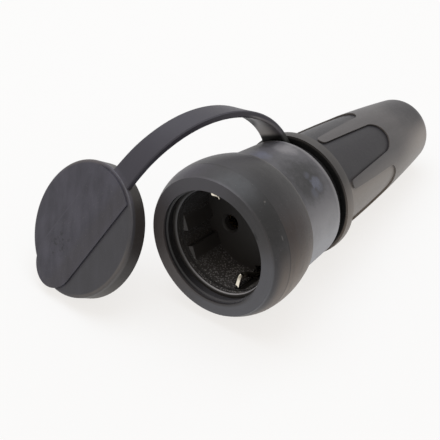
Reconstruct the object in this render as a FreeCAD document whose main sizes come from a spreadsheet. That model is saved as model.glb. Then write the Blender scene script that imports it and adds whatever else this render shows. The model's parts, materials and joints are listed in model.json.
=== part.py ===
import FreeCAD, Part
import math
import os

import Sketcher
from FreeCAD import Placement, Rotation, Vector

# An inline earthed socket with a rubber body, a scooped grip and a tethered cap.
# Each sub-part is drawn about the coupling axis: +Y runs from the mouth face to the tail,
# the pins lie along X and the strap leaves the neck along +Z. One placement then lays
# the whole connector down as it rests, with the middle of the plug recess's mouth at the origin.

# Driving dimensions in millimetres and degrees
SIZES = [
    ("lip_depth", 5.0),
    ("lip_bead_start", 1.6),
    ("lip_bead_width", 1.3),
    ("lip_bead_height", 0.6),
    ("lip_bead_slope", 0.35),
    ("lip_face_width", 4.6),
    ("shoulder_station", 7.0),
    ("shoulder_arc", 20.0),
    ("rim_wall", 7.4),
    ("rim_crown_station", 11.0),
    ("rim_arc", 37.0),
    ("rim_rear_station", 24.0),
    ("rim_rear_round", 1.4),
    ("barrel_wall", 3.8),
    ("barrel_taper", 1.6),
    ("barrel_rear_station", 45.8),
    ("barrel_edge_round", 0.7),
    ("neck_wall", 2.4),
    ("neck_insertion", 11.5),
    ("groove_width", 4.4),
    ("seat_clearance", 0.1),
    ("recess_radius", 19.6),
    ("recess_depth", 18.0),
    ("recess_edge_chamfer", 0.6),
    ("recess_mouth_depth", 2.2),
    ("recess_step", 0.4),
    ("insert_wall", 1.5),
    ("insert_floor", 3.0),
    ("pin_pitch", 19.0),
    ("pin_hole_radius", 3.0),
    ("pin_hole_lead", 0.7),
    ("guide_gap", 6.1),
    ("guide_height", 2.4),
    ("guide_setback", 0.4),
    ("earth_slot_width", 5.8),
    ("earth_slot_clearance", 1.0),
    ("earth_slot_wall", 0.8),
    ("earth_slot_setback", 0.2),
    ("boss_radius", 3.2),
    ("boss_length", 5.0),
    ("boss_offset", 10.6),
    ("carrier_screw_radius", 1.2),
    ("carrier_screw_head_radius", 2.7),
    ("carrier_screw_head_height", 1.9),
    ("screw_clearance", 0.15),
    ("thread_clearance", 0.05),
    ("carrier_length", 12.2),
    ("contact_bore_radius", 2.45),
    ("contact_wall", 1.35),
    ("contact_setback", 0.4),
    ("contact_slot_width", 0.8),
    ("contact_slot_length", 7.0),
    ("contact_clearance", 0.1),
    ("spring_thickness", 0.5),
    ("spring_length", 4.0),
    ("spring_setback", 1.6),
    ("spring_gap", 1.2),
    ("spring_room", 0.3),
    ("spring_chamber_length", 8.0),
    ("terminal_width", 8.0),
    ("terminal_length", 10.0),
    ("terminal_height", 8.0),
    ("terminal_room", 1.12),
    ("terminal_wire_radius", 1.6),
    ("terminal_wire_depth", 8.0),
    ("terminal_screw_radius", 1.5),
    ("terminal_screw_length", 3.4),
    ("terminal_head_radius", 2.4),
    ("terminal_head_height", 1.8),
    ("screw_slot_width", 0.7),
    ("screw_slot_depth", 0.9),
    ("earth_block_width", 7.0),
    ("earth_block_offset", 6.5),
    ("earth_spigot_radius", 2.0),
    ("earth_strip_width", 5.0),
    ("earth_strip_thickness", 0.9),
    ("earth_arm_inset", 0.8),
    ("earth_arm_bulge", 1.6),
    ("earth_arm_setback", 0.4),
    ("earth_arm_tip_length", 2.6),
    ("earth_arm_ramp_length", 2.8),
    ("tongue_width", 11.0),
    ("tongue_thickness", 2.2),
    ("tongue_top", 10.2),
    ("saddle_station", 64.0),
    ("saddle_length", 10.0),
    ("saddle_width", 23.0),
    ("saddle_height", 6.5),
    ("clamp_bore_radius", 4.4),
    ("clamp_bar_margin", 0.5),
    ("clamp_bar_height", 6.5),
    ("clamp_screw_offset", 8.2),
    ("clamp_screw_radius", 1.4),
    ("clamp_screw_depth", 5.0),
    ("clamp_head_radius", 2.5),
    ("clamp_head_height", 1.8),
    ("collar_height", 3.3),
    ("collar_width", 3.8),
    ("collar_arc", 12.0),
    ("collar_fillet", 3.4),
    ("grip_wall", 2.9),
    ("grip_arc", 640.0),
    ("tail_radius", 13.8),
    ("tail_round_length", 6.5),
    ("tail_arc", 8.0),
    ("tail_face_radius", 9.0),
    ("tail_end_station", 131.5),
    ("cable_bore_radius", 5.0),
    ("cable_bore_length", 18.0),
    ("cable_bore_chamfer", 1.0),
    ("cavity_step", 0.4),
    ("cavity_rear_radius", 11.0),
    ("cavity_rear_station", 104.0),
    ("panel_count", 6),
    ("panel_depth", 0.75),
    ("panel_half_width", 6.4),
    ("panel_end_station", 95.6),
    ("panel_flare", 2.1),
    ("tongue_tip_radius", 1.7),
    ("tongue_tip_station", 60.3),
    ("ring_clearance", 0.3),
    ("ring_wall", 2.9),
    ("strap_width", 10.2),
    ("strap_root_width", 11.6),
    ("strap_thickness", 2.5),
    ("strap_edge_chamfer", 0.4),
    ("strap_root_pull", 20.8),
    ("strap_cap_pull", 40.9),
    ("strap_sink", 0.3),
    ("strap_overlap", 1.4),
    ("cap_overhang", 3.8),
    ("cap_draft", 0.2),
    ("cap_skirt_depth", 7.0),
    ("cap_skirt_wall", 2.2),
    ("cap_plate", 2.6),
    ("cap_edge_round", 0.8),
    ("cap_plug_clearance", 0.6),
    ("cap_plug_wall", 2.2),
    ("cap_plug_reach", 4.8),
    ("cap_bead_height", 0.4),
    ("cap_bead_reach", 3.0),
    ("cap_bead_slope", 1.0),
    ("band_half_width", 10.2),
    ("band_height", 0.6),
    ("band_inset", 1.3),
    ("tab_reach", 1.6),
    ("band_depth", 2.6),
    ("cap_side_offset", 48.2),
    ("cap_forward_offset", 19.4),
    ("cap_lean", 32.6),
    ("cap_turn", 11.0),
    ("cap_spin", 18.0),
    ("body_roll", 23.5),
]

STRAP_SECTIONS = 11
STRAP_FLARE_SHARE = 0.2
SHEET_NAME = "Sizes"

doc = FreeCAD.newDocument("InlineSocketConnector")
sheet = doc.addObject("Spreadsheet::Sheet", SHEET_NAME)
for row, (alias, amount) in enumerate(SIZES, start=1):
    sheet.set(f"A{row}", alias)
    sheet.set(f"B{row}", str(amount))
    sheet.setAlias(f"B{row}", alias)
doc.recompute()


class Size:
    """A number that also carries the expression it was worked out with."""

    def __init__(self, value, text):
        self.value = value
        self.text = text

    @staticmethod
    def of(other):
        return other if isinstance(other, Size) else Size(float(other), repr(float(other)))

    def __add__(self, other):
        other = Size.of(other)
        return Size(self.value + other.value, f"({self.text} + {other.text})")

    def __sub__(self, other):
        other = Size.of(other)
        return Size(self.value - other.value, f"({self.text} - {other.text})")

    def __mul__(self, other):
        other = Size.of(other)
        return Size(self.value * other.value, f"({self.text} * {other.text})")

    def __truediv__(self, other):
        other = Size.of(other)
        return Size(self.value / other.value, f"({self.text} / {other.text})")

    def __neg__(self):
        return Size(-self.value, f"(0 - {self.text})")

    __radd__ = __add__
    __rmul__ = __mul__

    def root(self):
        return Size(math.sqrt(self.value), f"sqrt({self.text})")


class Sizes:
    """Reads a cell of the sheet by its alias."""

    def __getattr__(self, alias):
        return Size(float(getattr(sheet, alias)), f"{SHEET_NAME}.{alias}")


size = Sizes()
ZERO = Size(0.0, "0")

# Stations along the axis that several sub-parts share
insert_front = size.lip_depth
recess_start = insert_front + size.recess_edge_chamfer
mouth_end = recess_start + size.recess_mouth_depth
wall_start = mouth_end + size.recess_step
earth_slot_start = wall_start + size.earth_slot_setback
insert_rear = insert_front + size.recess_depth + size.insert_floor
carrier_rear = insert_rear + size.carrier_length
collar_front = size.barrel_rear_station + size.groove_width
collar_rear = collar_front + size.collar_width
collar_crown = collar_front + size.collar_width / 2
tail_station = size.tail_end_station - size.tail_round_length
neck_end = collar_front + size.neck_insertion
terminal_rear = carrier_rear + size.terminal_length
clamp_middle = size.saddle_station + size.saddle_length / 2

# Radii that several sub-parts share
recess_wall_radius = size.recess_radius - size.recess_step
insert_radius = size.recess_radius + size.insert_wall
lip_bore = insert_radius + size.seat_clearance
rim_radius = lip_bore + size.rim_wall
barrel_front_radius = lip_bore + size.barrel_wall
barrel_rear_radius = barrel_front_radius - size.barrel_taper
contact_radius = size.contact_bore_radius + size.contact_wall
pin_offset = size.pin_pitch / 2
terminal_reach = pin_offset + size.terminal_width / 2
terminal_half_height = size.terminal_height / 2
terminal_corner = (terminal_reach * terminal_reach + terminal_half_height * terminal_half_height).root()
neck_bore = terminal_corner + size.terminal_room
neck_radius = neck_bore + size.neck_wall
grip_front_radius = neck_radius + size.seat_clearance + size.grip_wall
collar_radius = grip_front_radius + size.collar_height
earth_arm_reach = recess_wall_radius - size.earth_arm_inset
cap_radius = lip_bore + size.cap_overhang
cap_skirt_radius = cap_radius - size.cap_draft
band_tip = cap_radius + size.tab_reach


def crown_radius(top, arc, distance):
    """Radius of a crowned band at a distance along the axis from its crown."""
    return top - arc + (arc * arc - distance * distance).root()


def bind(thing, **expressions):
    """Binds properties to expressions; two underscores stand for a dot."""
    for path, amount in expressions.items():
        thing.setExpression(path.replace("__", "."), Size.of(amount).text)


def place(thing, x=ZERO, y=ZERO, z=ZERO):
    bind(thing, Placement__Base__x=x, Placement__Base__y=y, Placement__Base__z=z)


# Outlines: a list of (x, y) or (x, y, arc radius, turn) for the run that arrives there
def arc_of(start, end, radius, turn):
    """Arc between two points; turn 1 goes anticlockwise and -1 clockwise."""
    chord = end.sub(start)
    half = chord.Length / 2
    rise = math.sqrt(max(radius * radius - half * half, 0.0))
    left = Vector(-chord.y, chord.x, 0).normalize()
    centre = start + chord * 0.5 + left * (rise * turn)
    first, last = (start, end) if turn > 0 else (end, start)
    angles = [math.atan2(p.y - centre.y, p.x - centre.x) for p in (first, last)]
    return Part.ArcOfCircle(Part.Circle(centre, Vector(0, 0, 1), radius), *angles)


def pin_vertex(sketch, geometry, vertex, corner):
    """Holds one corner of an outline at its two expressions, or on an axis where one is zero."""
    for amount, kind, axis in ((corner[0], "DistanceX", -2), (corner[1], "DistanceY", -1)):
        if abs(amount.value) < 1e-9:
            sketch.addConstraint(Sketcher.Constraint("PointOnObject", geometry, vertex, axis))
            continue
        index = sketch.addConstraint(Sketcher.Constraint(kind, -1, 1, geometry, vertex, amount.value))
        sketch.setExpression(f"Constraints[{index}]", amount.text)


def outline(body, plane, corners, name):
    """Closed sketch through the corners, every corner and arc bound to the sheet."""
    sketch = body.newObject("Sketcher::SketchObject", name)
    origin_plane = [f for f in body.Origin.OriginFeatures if f.Role == plane][0]
    sketch.AttachmentSupport = [(origin_plane, "")]
    sketch.MapMode = "FlatFace"
    corners = [tuple(Size.of(a) for a in corner[:2]) + tuple(corner[2:]) for corner in corners]
    points = [Vector(c[0].value, c[1].value, 0) for c in corners]
    ends = []
    for index, corner in enumerate(corners):
        start, end = points[index - 1], points[index]
        if len(corner) == 2:
            geometry = sketch.addGeometry(Part.LineSegment(start, end), False)
            ends.append((geometry, 1, 2))
            continue
        radius, turn = Size.of(corner[2]), corner[3]
        geometry = sketch.addGeometry(arc_of(start, end, radius.value, turn), False)
        ends.append((geometry, 1, 2) if turn > 0 else (geometry, 2, 1))
        held = sketch.addConstraint(Sketcher.Constraint("Radius", geometry, radius.value))
        sketch.setExpression(f"Constraints[{held}]", radius.text)
    for index, (geometry, first, last) in enumerate(ends):
        following = ends[(index + 1) % len(ends)]
        joint = Sketcher.Constraint("Coincident", geometry, last, following[0], following[1])
        sketch.addConstraint(joint)
        pin_vertex(sketch, geometry, last, corners[index])
    return sketch


def turned(name, corners):
    """Body turned about the coupling axis from an outline of (radius, station) corners."""
    body = doc.addObject("PartDesign::Body", name)
    sketch = outline(body, "XY_Plane", corners, name + "_section")
    feature = body.newObject("PartDesign::Revolution", name + "_turned")
    feature.Profile = sketch
    feature.ReferenceAxis = (sketch, ["V_Axis"])
    feature.Angle = 360
    return body


def padded(name, plane, corners, length, midplane=True):
    """Body padded from an outline, to both sides of its plane."""
    body = doc.addObject("PartDesign::Body", name)
    sketch = outline(body, plane, corners, name + "_section")
    feature = body.newObject("PartDesign::Pad", name + "_pad")
    feature.Profile = sketch
    feature.Midplane = midplane
    bind(feature, Length=length)
    return body


# Primitives and booleans
AXIS_TURNS = {
    "y": Rotation(Vector(1, 0, 0), -90),
    "z": Rotation(),
}


def rod(name, radius, length, x=ZERO, y=ZERO, z=ZERO, axis="y"):
    """Cylinder that starts at a point and runs along a positive axis."""
    thing = doc.addObject("Part::Cylinder", name)
    thing.Placement = Placement(Vector(), AXIS_TURNS[axis])
    bind(thing, Radius=radius, Height=length)
    place(thing, x, y, z)
    return thing


def cone(name, start_radius, end_radius, length, x=ZERO, y=ZERO, z=ZERO):
    """Cone along the coupling axis."""
    thing = doc.addObject("Part::Cone", name)
    thing.Placement = Placement(Vector(), AXIS_TURNS["y"])
    bind(thing, Radius1=start_radius, Radius2=end_radius, Height=length)
    place(thing, x, y, z)
    return thing


def block(name, width, length, height, x=ZERO, y=ZERO, z=ZERO):
    """Box centred on x, starting at y, with its underside at z."""
    thing = doc.addObject("Part::Box", name)
    bind(thing, Length=width, Width=length, Height=height)
    place(thing, Size.of(x) - Size.of(width) / 2, y, z)
    return thing


def cut(name, base, tools):
    tool = tools[0]
    if len(tools) > 1:
        tool = doc.addObject("Part::MultiFuse", name + "_tools")
        tool.Shapes = tools
    result = doc.addObject("Part::Cut", name)
    result.Base = base
    result.Tool = tool
    return result


def fuse(name, pieces):
    result = doc.addObject("Part::MultiFuse", name)
    result.Shapes = pieces
    return result


def common(name, base, tool):
    result = doc.addObject("Part::MultiCommon", name)
    result.Shapes = [base, tool]
    return result


def group(name, pieces):
    """Like pieces that share one node and stay separate solids."""
    result = doc.addObject("Part::Compound", name)
    result.Links = pieces
    return result


def slotted_screw(name, shank, length, head, height, x, y, z, axis):
    """Screw whose head sits on a point and whose shank runs back along the axis."""
    at = {"x": x, "y": y, "z": z}
    below = dict(at)
    below[axis] = Size.of(at[axis]) - length
    above = dict(at)
    above[axis] = Size.of(at[axis]) + height - size.screw_slot_depth
    body = fuse(name + "_body", [
        rod(name + "_shank", shank, length, below["x"], below["y"], below["z"], axis),
        rod(name + "_head", head, height, x, y, z, axis),
    ])
    span = (head + size.screw_slot_width) * 2
    if axis == "y":
        slot = block(name + "_slot", span, size.screw_slot_depth * 2, size.screw_slot_width,
                     x, above["y"], Size.of(z) - size.screw_slot_width / 2)
    else:
        slot = block(name + "_slot", size.screw_slot_width, span, size.screw_slot_depth * 2,
                     x, Size.of(y) - span / 2, above["z"])
    return cut(name, body, [slot])


# Front sleeve: lip, rim, barrel and neck in one rubber moulding
def make_front_sleeve():
    bead_top = lip_bore - size.lip_bead_height
    bead_end = size.lip_bead_start + size.lip_bead_width
    shoulder = crown_radius(rim_radius, size.rim_arc, size.shoulder_station - size.rim_crown_station)
    band_end = size.rim_rear_station - size.rim_rear_round
    band_end_radius = crown_radius(rim_radius, size.rim_arc, band_end - size.rim_crown_station)
    rear_edge = barrel_rear_radius - size.barrel_edge_round
    return turned("front_sleeve", [
        (lip_bore, ZERO),
        (lip_bore + size.lip_face_width, ZERO),
        (shoulder, size.shoulder_station, size.shoulder_arc, 1),
        (band_end_radius, band_end, size.rim_arc, 1),
        (band_end_radius - size.rim_rear_round, size.rim_rear_station, size.rim_rear_round, 1),
        (barrel_front_radius, size.rim_rear_station),
        (barrel_rear_radius, size.barrel_rear_station - size.barrel_edge_round),
        (rear_edge, size.barrel_rear_station, size.barrel_edge_round, 1),
        (neck_radius, size.barrel_rear_station),
        (neck_radius, neck_end),
        (neck_bore, neck_end),
        (neck_bore, carrier_rear),
        (lip_bore, carrier_rear),
        (lip_bore, bead_end + size.lip_bead_slope),
        (bead_top, bead_end),
        (bead_top, size.lip_bead_start + size.lip_bead_slope),
        (lip_bore, size.lip_bead_start),
    ])


# Socket insert: the plug recess
def make_socket_insert():
    floor_front = insert_front + size.recess_depth
    bowl = turned("insert_bowl", [
        (insert_radius, insert_front),
        (insert_radius, insert_rear),
        (ZERO, insert_rear),
        (ZERO, floor_front),
        (recess_wall_radius, floor_front),
        (recess_wall_radius, wall_start),
        (size.recess_radius, mouth_end),
        (size.recess_radius, recess_start),
        (size.recess_radius + size.recess_edge_chamfer, insert_front),
    ])
    guide_station = wall_start + size.guide_setback
    guide_length = insert_rear - guide_station
    wall_reach = (insert_radius - recess_wall_radius) / 2
    guide_chord = (recess_wall_radius * size.guide_height * 2 - size.guide_height * size.guide_height).root()
    flat_height = guide_chord + wall_reach - size.guide_gap / 2
    guide_rim = rod("guide_rim", recess_wall_radius + wall_reach, guide_length, y=guide_station)
    pin_lead_radius = size.pin_hole_radius + size.pin_hole_lead
    boss_bore = size.carrier_screw_radius + size.thread_clearance
    slot_outer = insert_radius - size.earth_slot_wall
    slot_inner = earth_arm_reach - size.earth_strip_thickness - size.earth_slot_clearance
    additions = [bowl]
    removals = []
    for side, name in ((-1, "live"), (1, "neutral")):
        guide_x = (recess_wall_radius + (wall_reach - size.guide_height) / 2) * side
        pin_x = pin_offset * side
        corner = size.boss_offset * side
        slot_low = slot_inner if side > 0 else -slot_outer
        ends = (("upper", size.guide_gap / 2), ("lower", -size.guide_gap / 2 - flat_height))
        flats = [block(name + "_guide_" + end, size.guide_height + wall_reach, guide_length,
                       flat_height, guide_x, guide_station, start) for end, start in ends]
        additions.append(common(name + "_guides", fuse(name + "_guide_flats", flats), guide_rim))
        additions.append(rod(name + "_boss", size.boss_radius, size.boss_length,
                             corner, insert_rear, corner))
        removals.append(rod(name + "_pin_hole", size.pin_hole_radius, size.insert_floor, pin_x, floor_front))
        removals.append(cone(name + "_pin_lead", pin_lead_radius, size.pin_hole_radius,
                             size.pin_hole_lead, pin_x, floor_front))
        removals.append(block(name + "_earth_slot", size.earth_slot_width, insert_rear - earth_slot_start,
                              slot_outer - slot_inner, ZERO, earth_slot_start, slot_low))
        removals.append(rod(name + "_boss_hole", boss_bore, size.boss_length, corner, insert_rear, corner))
    return cut("socket_insert", fuse("insert_solid", additions), removals)


# Contact carrier: holds the contacts behind the insert and carries the cord saddle on a tongue
def make_contact_carrier():
    strip_room = size.earth_strip_thickness + size.contact_clearance * 2
    strip_reach = earth_arm_reach + size.contact_clearance
    tongue_end = size.saddle_station + size.saddle_length
    core = fuse("carrier_solid", [
        rod("carrier_disc", insert_radius - size.seat_clearance, size.carrier_length, y=insert_rear),
        block("carrier_tongue", size.tongue_width, tongue_end - carrier_rear, size.tongue_thickness,
              y=carrier_rear, z=-size.tongue_top - size.tongue_thickness),
        block("saddle_rib", size.tongue_width, size.saddle_length, size.tongue_top,
              y=size.saddle_station, z=-size.tongue_top),
        block("saddle_block", size.saddle_width, size.saddle_length, size.saddle_height,
              y=size.saddle_station, z=-size.saddle_height),
    ])
    removals = [
        block("strip_channel", size.earth_slot_width, strip_room, strip_reach * 2,
              y=insert_rear, z=-strip_reach),
        rod("earth_spigot_hole", size.earth_spigot_radius + size.contact_clearance, size.carrier_length,
            y=insert_rear, z=-size.earth_block_offset),
        rod("saddle_groove", size.clamp_bore_radius, size.saddle_length, y=size.saddle_station),
    ]
    contact_hole = contact_radius + size.contact_clearance
    chamber = contact_hole + size.spring_thickness + size.spring_room
    head_depth = size.carrier_screw_head_height + size.contact_clearance
    for side, name in ((-1, "live"), (1, "neutral")):
        pin_x = pin_offset * side
        corner = size.boss_offset * side
        removals.append(rod(name + "_contact_hole", contact_hole, size.carrier_length, pin_x, insert_rear))
        removals.append(rod(name + "_spring_chamber", chamber, size.spring_chamber_length,
                            pin_x, insert_rear))
        removals.append(rod(name + "_boss_room", size.boss_radius + size.contact_clearance,
                            size.boss_length + size.contact_clearance, corner, insert_rear, corner))
        removals.append(rod(name + "_screw_hole", size.carrier_screw_radius + size.screw_clearance,
                            size.carrier_length, corner, insert_rear, corner))
        removals.append(rod(name + "_screw_seat", size.carrier_screw_head_radius + size.screw_clearance,
                            head_depth, corner, carrier_rear - head_depth, corner))
        removals.append(rod(name + "_clamp_hole", size.clamp_screw_radius + size.thread_clearance,
                            size.clamp_screw_depth + size.contact_clearance, size.clamp_screw_offset * side,
                            clamp_middle, -size.clamp_screw_depth - size.contact_clearance, "z"))
    return cut("contact_carrier", core, removals)


# Pin contacts: slotted sleeves with a terminal block behind the carrier
def make_contact(name, side):
    x = pin_offset * side
    front = insert_rear + size.contact_setback
    slit_span = (contact_radius + size.contact_slot_width) * 2
    screw_hole = size.terminal_screw_radius + size.thread_clearance
    solid = fuse(name + "_solid", [
        rod(name + "_sleeve", contact_radius, carrier_rear - front, x, front),
        block(name + "_block", size.terminal_width, size.terminal_length, size.terminal_height,
              x, carrier_rear, -size.terminal_height / 2),
    ])
    return cut(name, solid, [
        rod(name + "_pin_bore", size.contact_bore_radius, carrier_rear - front, x, front),
        block(name + "_slit", slit_span, size.contact_slot_length, size.contact_slot_width,
              x, front, -size.contact_slot_width / 2),
        rod(name + "_wire_hole", size.terminal_wire_radius, size.terminal_wire_depth,
            x, terminal_rear - size.terminal_wire_depth),
        rod(name + "_screw_hole", screw_hole, size.terminal_height / 2,
            x, carrier_rear + size.terminal_length / 2, ZERO, "z"),
    ])


def make_contact_spring(name, side):
    x = pin_offset * side
    inner = contact_radius + size.contact_clearance
    front = insert_rear + size.spring_setback
    return cut(name, rod(name + "_band", inner + size.spring_thickness, size.spring_length, x, front), [
        rod(name + "_inside", inner, size.spring_length, x, front),
        block(name + "_gap", size.spring_gap, size.spring_length, inner + size.spring_thickness, x, front),
    ])


# Earth bracket: one bent strip whose arms reach forward through the floor of the recess
def make_earth_bracket():
    thick = size.earth_strip_thickness
    reach = earth_arm_reach
    rear = insert_rear + size.contact_clearance + thick
    bulge = reach - size.earth_arm_bulge
    tip_station = earth_slot_start + size.earth_arm_setback
    bulge_station = tip_station + size.earth_arm_tip_length
    straight_end = bulge_station + size.earth_arm_ramp_length
    half = [
        (rear, reach),
        (straight_end, reach),
        (bulge_station, bulge),
        (tip_station, reach),
        (tip_station, reach - thick),
        (bulge_station, bulge - thick),
        (straight_end, reach - thick),
        (rear - thick, reach - thick),
    ]
    mirrored = [(station, -height) for station, height in reversed(half)]
    return padded("earth_bracket", "YZ_Plane", half + mirrored, size.earth_strip_width)


def make_earth_terminal():
    strip_rear = insert_rear + size.contact_clearance + size.earth_strip_thickness
    centre = -size.earth_block_offset
    solid = fuse("earth_terminal_solid", [
        rod("earth_spigot", size.earth_spigot_radius, carrier_rear - strip_rear, ZERO, strip_rear, centre),
        block("earth_block", size.earth_block_width, size.terminal_length, size.earth_block_width,
              ZERO, carrier_rear, centre - size.earth_block_width / 2),
    ])
    return cut("earth_terminal", solid, [
        rod("earth_wire_hole", size.terminal_wire_radius, size.terminal_wire_depth,
            ZERO, terminal_rear - size.terminal_wire_depth, centre),
        rod("earth_screw_hole", size.terminal_screw_radius + size.thread_clearance,
            size.earth_block_width / 2, ZERO, carrier_rear + size.terminal_length / 2, centre, "z"),
    ])


# Fasteners
def make_terminal_screws():
    middle = carrier_rear + size.terminal_length / 2
    tops = [
        (-pin_offset, size.terminal_height / 2),
        (pin_offset, size.terminal_height / 2),
        (ZERO, size.earth_block_width / 2 - size.earth_block_offset),
    ]
    return group("terminal_screws", [
        slotted_screw(f"terminal_screw_{n}", size.terminal_screw_radius, size.terminal_screw_length,
                      size.terminal_head_radius, size.terminal_head_height, x, middle, top, "z")
        for n, (x, top) in enumerate(tops)
    ])


def make_carrier_screws():
    seat = carrier_rear - size.carrier_screw_head_height - size.contact_clearance
    shank = seat - insert_rear - size.contact_clearance
    return group("carrier_screws", [
        slotted_screw(f"carrier_screw_{n}", size.carrier_screw_radius, shank, size.carrier_screw_head_radius,
                      size.carrier_screw_head_height, size.boss_offset * side, seat,
                      size.boss_offset * side, "y")
        for n, side in enumerate((-1, 1))
    ])


def make_cord_clamp_bar():
    station = size.saddle_station + size.clamp_bar_margin
    length = size.saddle_length - size.clamp_bar_margin * 2
    hole = size.clamp_screw_radius + size.screw_clearance
    bar = block("bar_block", size.saddle_width, length, size.clamp_bar_height, y=station)
    removals = [rod("bar_groove", size.clamp_bore_radius, length, y=station)]
    for side in (-1, 1):
        removals.append(rod("bar_screw_hole", hole, size.clamp_bar_height,
                            size.clamp_screw_offset * side, clamp_middle, ZERO, "z"))
    return cut("cord_clamp_bar", bar, removals)


def make_cord_clamp_screws():
    shank = size.clamp_bar_height + size.clamp_screw_depth
    return group("cord_clamp_screws", [
        slotted_screw(f"cord_clamp_screw_{n}", size.clamp_screw_radius, shank, size.clamp_head_radius,
                      size.clamp_head_height, size.clamp_screw_offset * side, clamp_middle,
                      size.clamp_bar_height, "z")
        for n, side in enumerate((-1, 1))
    ])


# Rear grip: a turned rubber moulding with scooped panels round it
def make_rear_grip():
    edge = crown_radius(collar_radius, size.collar_arc, size.collar_width / 2)
    cable_start = size.tail_end_station - size.cable_bore_length
    sleeve_bore = neck_radius + size.seat_clearance
    sleeve_end = neck_end + size.seat_clearance
    solid = turned("grip_solid", [
        (sleeve_bore, collar_front),
        (edge, collar_front),
        (edge, collar_rear, size.collar_arc, 1),
        (grip_front_radius, collar_rear + size.collar_fillet),
        (size.tail_radius, tail_station, size.grip_arc, 1),
        (size.tail_face_radius, size.tail_end_station, size.tail_arc, 1),
        (size.cable_bore_radius + size.cable_bore_chamfer, size.tail_end_station),
        (size.cable_bore_radius, size.tail_end_station - size.cable_bore_chamfer),
        (size.cable_bore_radius, cable_start),
        (size.cavity_rear_radius, size.cavity_rear_station),
        (neck_bore + size.cavity_step, sleeve_end),
        (sleeve_bore, sleeve_end),
    ])
    outside = collar_radius + size.panel_depth
    scoop_front = grip_front_radius - size.panel_depth
    scoop_rear = size.tail_radius - size.panel_depth
    scoop = turned("scoop_ring", [
        (outside, collar_rear),
        (outside, tail_station),
        (scoop_rear, tail_station),
        (scoop_front, collar_rear + size.collar_fillet, size.grip_arc, -1),
        (scoop_front + size.collar_fillet, collar_rear, size.collar_fillet, -1),
    ])
    return cut("rear_grip", solid, [common("grip_scoops", scoop, make_panel_fan(outside))])


def make_panel_fan(outside):
    """Prisms with the panels' outlines, standing round a thin core."""
    half = size.panel_half_width
    tip = half + size.panel_flare
    round_station = size.panel_end_station - half
    tip_station = size.tongue_tip_station
    reach = tip + size.tongue_tip_radius
    corners = [
        (outside, collar_rear),
        (outside, tip_station),
        (reach, tip_station),
        (tip, tip_station + size.tongue_tip_radius, size.tongue_tip_radius, -1),
        (half, round_station),
        (ZERO, size.panel_end_station, half, 1),
        (-half, round_station, half, 1),
        (-tip, tip_station + size.tongue_tip_radius),
        (-reach, tip_station, size.tongue_tip_radius, -1),
        (-outside, tip_station),
        (-outside, collar_rear),
    ]
    prisms = []
    step = 360.0 / int(round(size.panel_count.value))
    for n in range(int(round(size.panel_count.value))):
        prism = padded(f"panel_prism_{n}", "XY_Plane", corners, outside, midplane=False)
        prism.Placement = Placement(Vector(), Rotation(Vector(0, 1, 0), step * n))
        prisms.append(prism)
    return fuse("panel_fan", prisms)


# How the connector lies: on the rim, the collar and the edge of the cap
def tangent_tilt():
    """Tilt of the line that touches the crowned rim and collar, and its distance from the axis."""
    rim_centre = Vector(size.rim_crown_station.value, rim_radius.value - size.rim_arc.value, 0)
    collar_centre = Vector(collar_crown.value, collar_radius.value - size.collar_arc.value, 0)
    between = collar_centre.sub(rim_centre)
    difference = size.rim_arc.value - size.collar_arc.value
    tilt = math.asin(difference / between.Length) - math.atan2(between.y, between.x)
    normal = Vector(math.sin(tilt), math.cos(tilt), 0)
    return tilt, normal.dot(rim_centre) + size.rim_arc.value


REST_TILT, AXIS_HEIGHT = tangent_tilt()
REST = (Placement(Vector(), Rotation(Vector(1, 0, 0), -math.degrees(REST_TILT)))
        * Placement(Vector(), Rotation(Vector(0, 1, 0), -size.body_roll.value))
        * Placement(Vector(0, -recess_start.value, 0), Rotation()))
FLOOR = recess_start.value * math.sin(REST_TILT) - AXIS_HEIGHT


def cap_placement():
    """Cap standing on its edge: +Y runs into the cap, +X along the band to the finger tab."""
    lean = math.radians(size.cap_lean.value)
    turn = math.radians(size.cap_turn.value)
    spin = math.radians(size.cap_spin.value)
    outward = Vector(-math.sin(turn) * math.cos(lean), -math.cos(turn) * math.cos(lean), math.sin(lean))
    level = Vector(math.cos(turn), -math.sin(turn), 0)
    rising = outward.cross(level)
    band = level * -math.sin(spin) + rising * -math.cos(spin)
    skirt_drop = cap_skirt_radius.value * math.cos(lean) + size.cap_skirt_depth.value * math.sin(lean)
    tab_centre = band_tip.value - size.band_half_width.value
    tab_drop = (tab_centre * math.cos(spin) + size.band_half_width.value) * math.cos(lean)
    tab_drop += size.band_depth.value * math.sin(lean)
    height = FLOOR + max(skirt_drop, tab_drop)
    centre = Vector(-size.cap_side_offset.value, -size.cap_forward_offset.value, height)
    return Placement(centre, Rotation(band, outward * -1, Vector(), "XYZ"))


# Tethered cap: neck ring, strap and plug cap in one rubber moulding
def make_neck_ring():
    inner = neck_radius + size.ring_clearance
    front = size.barrel_rear_station + size.ring_clearance
    rear = collar_front - size.ring_clearance
    outer = inner + size.ring_wall
    return turned("neck_ring", [(inner, front), (outer, front), (outer, rear), (inner, rear)])


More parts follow.
